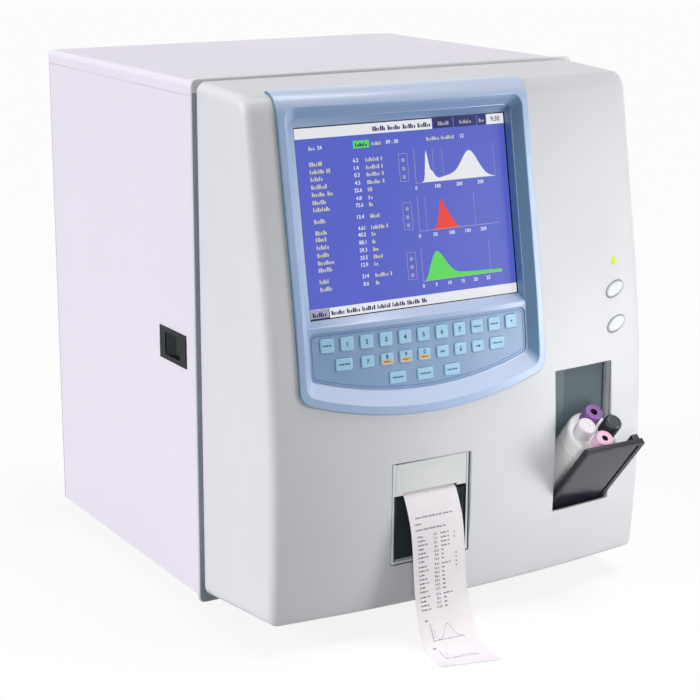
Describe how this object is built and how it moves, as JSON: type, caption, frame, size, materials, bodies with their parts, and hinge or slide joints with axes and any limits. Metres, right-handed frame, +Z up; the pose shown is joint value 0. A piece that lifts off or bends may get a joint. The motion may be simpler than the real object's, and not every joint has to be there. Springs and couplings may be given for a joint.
{
  "type": "hematology analyzer",
  "caption": "Bench blood analyzer: sheet-metal case, deep moulded front, recessed screen over a key panel, strip recorder with hanging paper, and a swing-out tube carriage.",
  "frame": {"origin": "under the middle of the bounding box, paper strip included, at the height of the foot soles", "axes": "+X to the right as seen from the front, +Y to the rear, +Z up; the front faces -Y"},
  "size_m": [0.404, 0.5606, 0.4795],
  "materials": {
    "case_paint": "fine-textured enamel",
    "rear_paint": "fine-textured enamel",
    "frame_paint": "satin enamel",
    "chassis_steel": "plain sheet",
    "zinc_plate": "zinc-plated sheet",
    "probe_steel": "polished needle in a machined block",
    "foot_rubber": "moulded",
    "moulded_front": "fine spark texture",
    "bezel_blue": "satin pearl",
    "screen_glass": "lit panel behind anti-glare film",
    "key_panel_blue": "satin film",
    "key_blue": "satin",
    "button_white": "satin",
    "lamp_lens": "clear lens",
    "recorder_dark": "glossy",
    "recorder_flap_grey": "satin",
    "platen_rubber": "ground",
    "paper_white": "thermal paper",
    "liner_grey": "satin",
    "door_dark": "glossy",
    "window_smoke": "smoked acrylic",
    "adapter_white": "satin",
    "purple_cap": "satin",
    "black_cap": "satin",
    "pink_cap": "satin",
    "white_cap": "satin",
    "switch_black": "glossy",
    "inlet_black": "moulded",
    "fan_black": "moulded",
    "fluidics_grey": "machined and moulded"
  },
  "bodies": {
    "case": {"base_chassis": "chassis_steel", "top_cover": "case_paint", "left_panel": "case_paint", "right_panel": "case_paint", "rear_panel": "rear_paint", "front_frame": "frame_paint", "front_moulding": "moulded_front", "screen_bezel": "bezel_blue", "lcd_module": "screen_glass", "keypad_plate": "key_panel_blue", "status_lamp": "lamp_lens", "recorder_body": "recorder_dark", "paper_strip": "paper_white", "compartment_liner": "liner_grey", "power_switch_bezel": "switch_black", "front_left_foot": "foot_rubber", "front_right_foot": "foot_rubber", "rear_left_foot": "foot_rubber", "rear_right_foot": "foot_rubber", "power_inlet": "inlet_black", "electronics_box": "zinc_plate", "fluidics_module": "fluidics_grey"},
    "carriage": {"sample_door": "door_dark", "door_window": "window_smoke"},
    "rack": {"tube_adapter": "adapter_white", "sample_tube_purple": "purple_cap", "sample_tube_black": "black_cap", "sample_tube_pink": "pink_cap", "sample_tube_white": "white_cap"},
    "rocker": {"power_switch_rocker": "switch_black"},
    "flap": {"recorder_flap": "recorder_flap_grey"},
    "roll": {"paper_roll": "paper_white"},
    "platen": {"platen_roller": "platen_rubber"},
    "fan": {"fan_rotor": "fan_black"},
    "probe": {"sample_probe": "probe_steel"},
    "upper_push_button": {"upper_button": "button_white"},
    "lower_push_button": {"lower_button": "button_white"},
    "cap_f1": {"key_f1": "key_blue"},
    "cap_1": {"key_1": "key_blue"},
    "cap_2": {"key_2": "key_blue"},
    "cap_3": {"key_3": "key_blue"},
    "cap_4": {"key_4": "key_blue"},
    "cap_5": {"key_5": "key_blue"},
    "cap_6": {"key_6": "key_blue"},
    "cap_up": {"key_up": "key_blue"},
    "cap_f2": {"key_f2": "key_blue"},
    "cap_f3": {"key_f3": "key_blue"},
    "cap_dot": {"key_dot": "key_blue"},
    "cap_f4": {"key_f4": "key_blue"},
    "cap_7": {"key_7": "key_blue"},
    "cap_8": {"key_8": "key_blue"},
    "cap_9": {"key_9": "key_blue"},
    "cap_0": {"key_0": "key_blue"},
    "cap_left": {"key_left": "key_blue"},
    "cap_down": {"key_down": "key_blue"},
    "cap_right": {"key_right": "key_blue"},
    "cap_f5": {"key_f5": "key_blue"},
    "cap_f6": {"key_f6": "key_blue"},
    "cap_f7": {"key_f7": "key_blue"},
    "cap_f8": {"key_f8": "key_blue"}
  },
  "joints": [
    {"name": "carriage_swing", "type": "hinge", "parent": "case", "child": "carriage", "pos_m": [0.12175, -0.12374, 0.107], "axis": [1, 0, 0], "range_deg": [-39.5, 0]},
    {"name": "rack_turn", "type": "hinge", "parent": "carriage", "child": "rack", "pos_m": [0.12175, -0.15258, 0.0945], "axis": [0, -0.6361, 0.7716], "continuous": true},
    {"name": "rocker_tip", "type": "hinge", "parent": "case", "child": "rocker", "pos_m": [-0.1955, -0.00394, 0.2361], "axis": [0, 0, -1], "range_deg": [0, 14]},
    {"name": "flap_lift", "type": "hinge", "parent": "case", "child": "flap", "pos_m": [-0.047, -0.19234, 0.1572], "axis": [-1, 0, 0], "range_deg": [0, 75]},
    {"name": "roll_turn", "type": "hinge", "parent": "case", "child": "roll", "pos_m": [-0.047, -0.16274, 0.112], "axis": [1, 0, 0], "continuous": true},
    {"name": "platen_turn", "type": "hinge", "parent": "case", "child": "platen", "pos_m": [-0.047, -0.18274, 0.1275], "axis": [1, 0, 0], "continuous": true},
    {"name": "fan_spin", "type": "hinge", "parent": "case", "child": "fan", "pos_m": [-0.104, 0.23886, 0.262], "axis": [0, 1, 0], "continuous": true},
    {"name": "probe_slide", "type": "slide", "parent": "case", "child": "probe", "axis": [0, 0, -1], "range_m": [0, 0.06]},
    {"name": "upper_button_press", "type": "slide", "parent": "case", "child": "upper_push_button", "axis": [-0.1141, 0.9826, -0.1467], "range_m": [0, 0.002], "stiffness_N_per_m": 400},
    {"name": "lower_button_press", "type": "slide", "parent": "case", "child": "lower_push_button", "axis": [-0.1146, 0.9866, -0.1158], "range_m": [0, 0.002], "stiffness_N_per_m": 400},
    {"name": "key_f1_press", "type": "slide", "parent": "case", "child": "cap_f1", "axis": [0, 0.9931, -0.1177], "range_m": [0, 0.0008], "stiffness_N_per_m": 500},
    {"name": "key_1_press", "type": "slide", "parent": "case", "child": "cap_1", "axis": [0, 0.9931, -0.1177], "range_m": [0, 0.0008], "stiffness_N_per_m": 500},
    {"name": "key_2_press", "type": "slide", "parent": "case", "child": "cap_2", "axis": [0, 0.9931, -0.1177], "range_m": [0, 0.0008], "stiffness_N_per_m": 500},
    {"name": "key_3_press", "type": "slide", "parent": "case", "child": "cap_3", "axis": [0, 0.9931, -0.1177], "range_m": [0, 0.0008], "stiffness_N_per_m": 500},
    {"name": "key_4_press", "type": "slide", "parent": "case", "child": "cap_4", "axis": [0, 0.9931, -0.1177], "range_m": [0, 0.0008], "stiffness_N_per_m": 500},
    {"name": "key_5_press", "type": "slide", "parent": "case", "child": "cap_5", "axis": [0, 0.9931, -0.1177], "range_m": [0, 0.0008], "stiffness_N_per_m": 500},
    {"name": "key_6_press", "type": "slide", "parent": "case", "child": "cap_6", "axis": [0, 0.9931, -0.1177], "range_m": [0, 0.0008], "stiffness_N_per_m": 500},
    {"name": "key_up_press", "type": "slide", "parent": "case", "child": "cap_up", "axis": [0, 0.9931, -0.1177], "range_m": [0, 0.0008], "stiffness_N_per_m": 500},
    {"name": "key_f2_press", "type": "slide", "parent": "case", "child": "cap_f2", "axis": [0, 0.9931, -0.1177], "range_m": [0, 0.0008], "stiffness_N_per_m": 500},
    {"name": "key_f3_press", "type": "slide", "parent": "case", "child": "cap_f3", "axis": [0, 0.9931, -0.1177], "range_m": [0, 0.0008], "stiffness_N_per_m": 500},
    {"name": "key_dot_press", "type": "slide", "parent": "case", "child": "cap_dot", "axis": [0, 0.9931, -0.1177], "range_m": [0, 0.0008], "stiffness_N_per_m": 500},
    {"name": "key_f4_press", "type": "slide", "parent": "case", "child": "cap_f4", "axis": [0, 0.9931, -0.1177], "range_m": [0, 0.0008], "stiffness_N_per_m": 500},
    {"name": "key_7_press", "type": "slide", "parent": "case", "child": "cap_7", "axis": [0, 0.9931, -0.1177], "range_m": [0, 0.0008], "stiffness_N_per_m": 500},
    {"name": "key_8_press", "type": "slide", "parent": "case", "child": "cap_8", "axis": [0, 0.9931, -0.1177], "range_m": [0, 0.0008], "stiffness_N_per_m": 500},
    {"name": "key_9_press", "type": "slide", "parent": "case", "child": "cap_9", "axis": [0, 0.9931, -0.1177], "range_m": [0, 0.0008], "stiffness_N_per_m": 500},
    {"name": "key_0_press", "type": "slide", "parent": "case", "child": "cap_0", "axis": [0, 0.9931, -0.1177], "range_m": [0, 0.0008], "stiffness_N_per_m": 500},
    {"name": "key_left_press", "type": "slide", "parent": "case", "child": "cap_left", "axis": [0, 0.9931, -0.1177], "range_m": [0, 0.0008], "stiffness_N_per_m": 500},
    {"name": "key_down_press", "type": "slide", "parent": "case", "child": "cap_down", "axis": [0, 0.9931, -0.1177], "range_m": [0, 0.0008], "stiffness_N_per_m": 500},
    {"name": "key_right_press", "type": "slide", "parent": "case", "child": "cap_right", "axis": [0, 0.9931, -0.1177], "range_m": [0, 0.0008], "stiffness_N_per_m": 500},
    {"name": "key_f5_press", "type": "slide", "parent": "case", "child": "cap_f5", "axis": [0, 0.9931, -0.1177], "range_m": [0, 0.0008], "stiffness_N_per_m": 500},
    {"name": "key_f6_press", "type": "slide", "parent": "case", "child": "cap_f6", "axis": [0, 0.9931, -0.1177], "range_m": [0, 0.0008], "stiffness_N_per_m": 500},
    {"name": "key_f7_press", "type": "slide", "parent": "case", "child": "cap_f7", "axis": [0, 0.9931, -0.1177], "range_m": [0, 0.0008], "stiffness_N_per_m": 500},
    {"name": "key_f8_press", "type": "slide", "parent": "case", "child": "cap_f8", "axis": [0, 0.9931, -0.1177], "range_m": [0, 0.0008], "stiffness_N_per_m": 500}
  ],
  "couplings": [
    {"joint": "platen_turn", "follows": "roll_turn", "ratio": 2.5}
  ]
}
